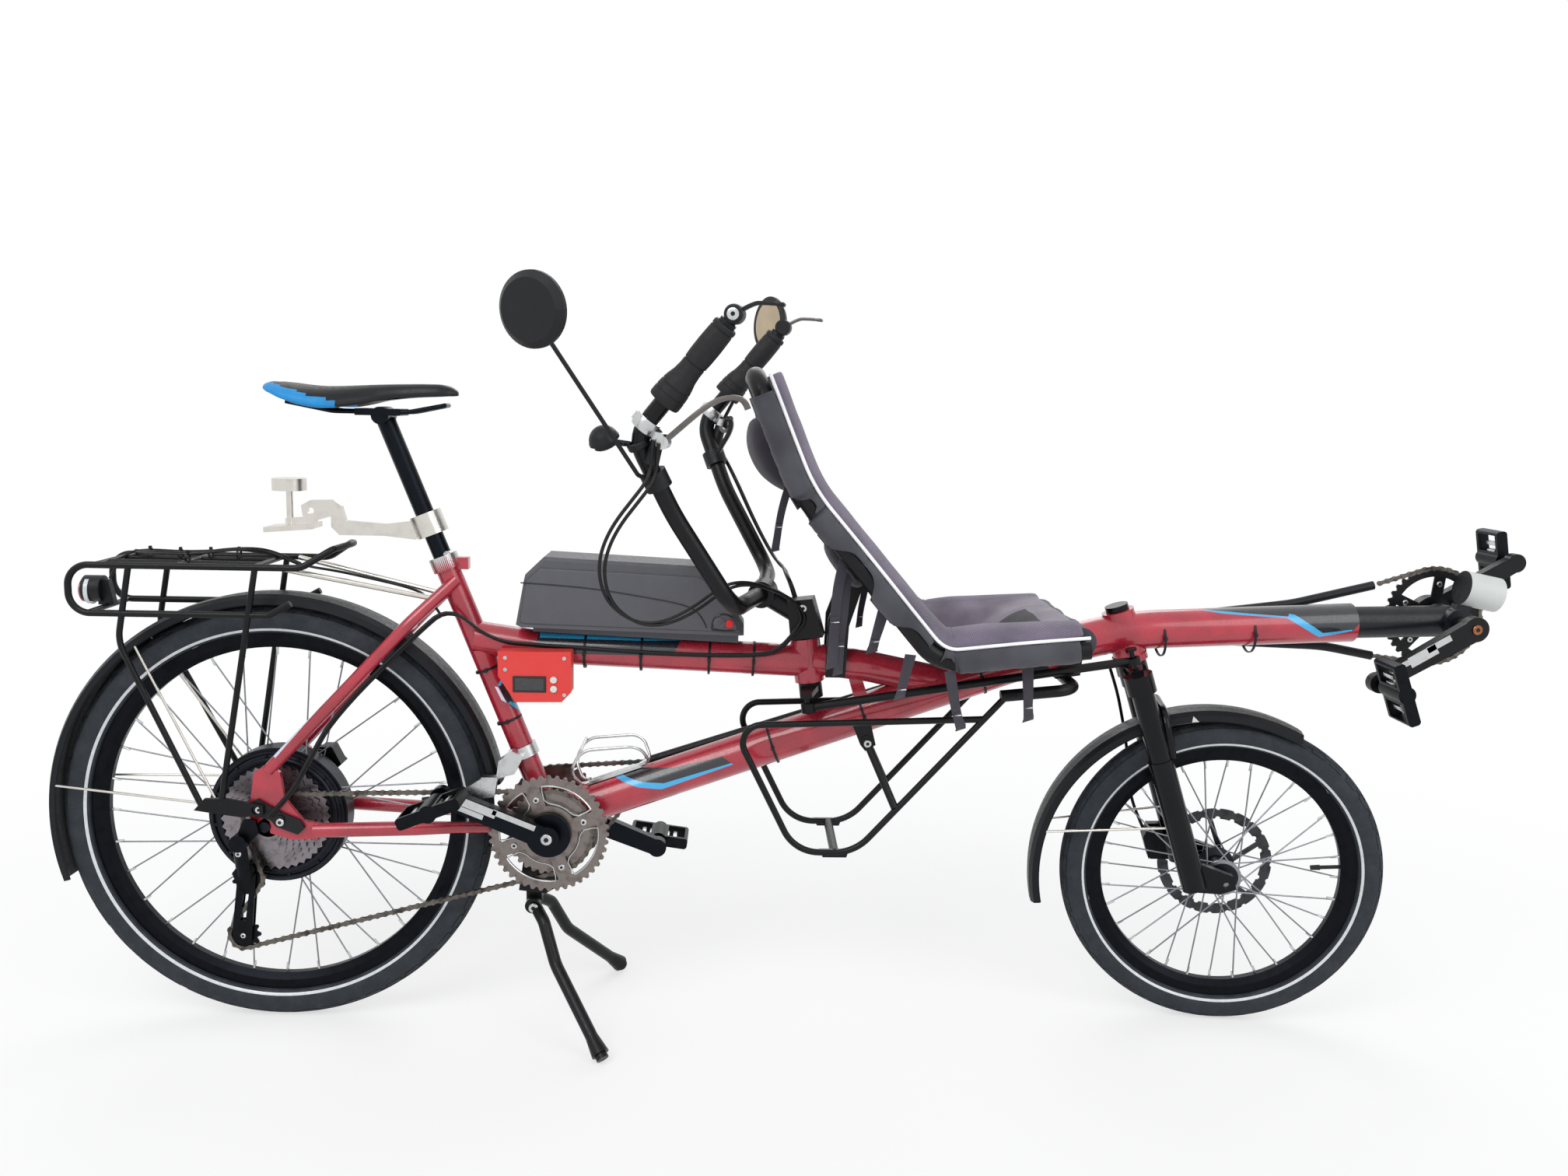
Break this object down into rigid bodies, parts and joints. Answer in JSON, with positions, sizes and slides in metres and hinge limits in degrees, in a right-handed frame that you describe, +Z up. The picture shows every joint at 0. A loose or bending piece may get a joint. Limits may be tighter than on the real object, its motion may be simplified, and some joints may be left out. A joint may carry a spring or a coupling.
{
  "type": "recumbent bicycle",
  "caption": "Two-rider semi-recumbent bicycle with front sling seat, rear saddle, hub motor, racks and parking stand.",
  "frame": {"origin": "on the floor under the middle of the bicycle's length and width", "axes": "+X forward, +Y to the riders' left, +Z up; the drive side of the rear wheel is -Y"},
  "size_m": [2.3213, 0.7407, 1.1554],
  "materials": {
    "tyre_black": "matt",
    "rim_black": "satin",
    "hub_dark": "satin",
    "steel": "satin",
    "dark_steel": "satin",
    "red_paint": "gloss",
    "black_paint": "satin",
    "alloy": "satin",
    "black_plastic": "matt",
    "gloss_black_plastic": "gloss",
    "lamp_grey": "gloss",
    "lamp_red": "gloss",
    "grip_black": "matt",
    "fabric_grey": "matt",
    "strap_black": "matt",
    "saddle_black": "satin"
  },
  "bodies": {
    "frame": {"battery_pack": "black_plastic", "bottle_cage": "alloy", "chain_stays": "red_paint", "chain_tubes": "black_plastic", "display_box": "black_plastic", "dropout_inserts": "alloy", "frame_cables": "black_plastic", "front_boom": "black_paint", "front_chain": "steel", "front_derailleur": "dark_steel", "front_lamp": "lamp_grey", "low_rack": "black_paint", "main_tube": "red_paint", "rack_struts": "alloy", "rear_caliper": "black_paint", "rear_chain": "steel", "rear_derailleur": "dark_steel", "rear_mudguard": "gloss_black_plastic", "rear_rack": "black_paint", "saddle": "saddle_black", "seat_bracket": "black_paint", "seat_cover": "fabric_grey", "seat_frame": "black_paint", "seat_post": "black_paint", "seat_stays": "red_paint", "seat_straps": "strap_black", "seat_tube": "red_paint", "stand_bracket": "black_paint", "tail_lamp": "lamp_red", "top_tube": "red_paint", "trailer_hitch": "dark_steel"},
    "rear_wheel": {"rear_tyre": "tyre_black", "rear_rim": "rim_black", "rear_hub": "hub_dark", "cassette": "steel", "rear_disc": "steel"},
    "front_wheel": {"front_tyre": "tyre_black", "front_rim": "rim_black", "front_hub": "hub_dark", "front_disc": "steel"},
    "fork": {"fork_upper": "black_paint", "fork_lowers": "black_paint", "front_caliper": "black_paint", "front_mudguard": "gloss_black_plastic"},
    "handlebar": {"stem": "red_paint", "handlebar": "black_paint", "grips": "grip_black", "bar_controls": "black_plastic", "mirrors": "gloss_black_plastic", "bar_cables": "black_plastic"},
    "tie_rod": {"tie_rod": "black_paint"},
    "stand": {"stand": "dark_steel"},
    "rear_crank": {"rear_cranks": "black_paint", "rear_chainrings": "dark_steel"},
    "front_crank": {"front_cranks": "black_paint", "front_chainring": "dark_steel"},
    "rear_right_pedal": {"rear_right_pedal": "black_plastic"},
    "rear_left_pedal": {"rear_left_pedal": "black_plastic"},
    "front_right_pedal": {"front_right_pedal": "black_plastic"},
    "front_left_pedal": {"front_left_pedal": "black_plastic"}
  },
  "joints": [
    {"name": "rear_wheel_spin", "type": "hinge", "parent": "frame", "child": "rear_wheel", "pos_m": [-0.815, 0, 0.328], "axis": [0, 1, 0], "continuous": true},
    {"name": "steering", "type": "hinge", "parent": "frame", "child": "fork", "pos_m": [0.5027, 0, 0.58801], "axis": [-0.309, 0, 0.9511], "range_deg": [-21, 39]},
    {"name": "front_wheel_spin", "type": "hinge", "parent": "fork", "child": "front_wheel", "pos_m": [0.66244, -0.00751, 0.24982], "axis": [0.1488, 0.9877, 0.0483], "continuous": true},
    {"name": "handlebar_turn", "type": "hinge", "parent": "frame", "child": "handlebar", "pos_m": [0.001, 0, 0.548], "axis": [-0.1392, 0, 0.9903], "range_deg": [-21, 39]},
    {"name": "tie_rod_swing", "type": "hinge", "parent": "handlebar", "child": "tie_rod", "pos_m": [-0.00319, -0.05334, 0.51712], "axis": [-0.1392, 0, 0.9903], "range_deg": [-39, 21]},
    {"name": "stand_fold", "type": "hinge", "parent": "frame", "child": "stand", "pos_m": [-0.425, 0, 0.187], "axis": [0, 1, 0], "range_deg": [0, 95]},
    {"name": "rear_crank_spin", "type": "hinge", "parent": "frame", "child": "rear_crank", "pos_m": [-0.395, 0, 0.315], "axis": [0, 1, 0], "continuous": true},
    {"name": "front_crank_spin", "type": "hinge", "parent": "frame", "child": "front_crank", "pos_m": [1.002, 0, 0.658], "axis": [0, 1, 0], "continuous": true},
    {"name": "rear_right_pedal_spin", "type": "hinge", "parent": "rear_crank", "child": "rear_right_pedal", "pos_m": [-0.55262, 0, 0.37868], "axis": [0, 1, 0], "continuous": true},
    {"name": "rear_left_pedal_spin", "type": "hinge", "parent": "rear_crank", "child": "rear_left_pedal", "pos_m": [-0.23738, 0, 0.25132], "axis": [0, 1, 0], "continuous": true},
    {"name": "front_right_pedal_spin", "type": "hinge", "parent": "front_crank", "child": "front_right_pedal", "pos_m": [0.86057, 0, 0.57302], "axis": [0, 1, 0], "continuous": true},
    {"name": "front_left_pedal_spin", "type": "hinge", "parent": "front_crank", "child": "front_left_pedal", "pos_m": [1.14343, 0, 0.74298], "axis": [0, 1, 0], "continuous": true}
  ],
  "couplings": [
    {"joint": "handlebar_turn", "follows": "steering", "ratio": 1},
    {"joint": "tie_rod_swing", "follows": "steering", "ratio": -1}
  ]
}
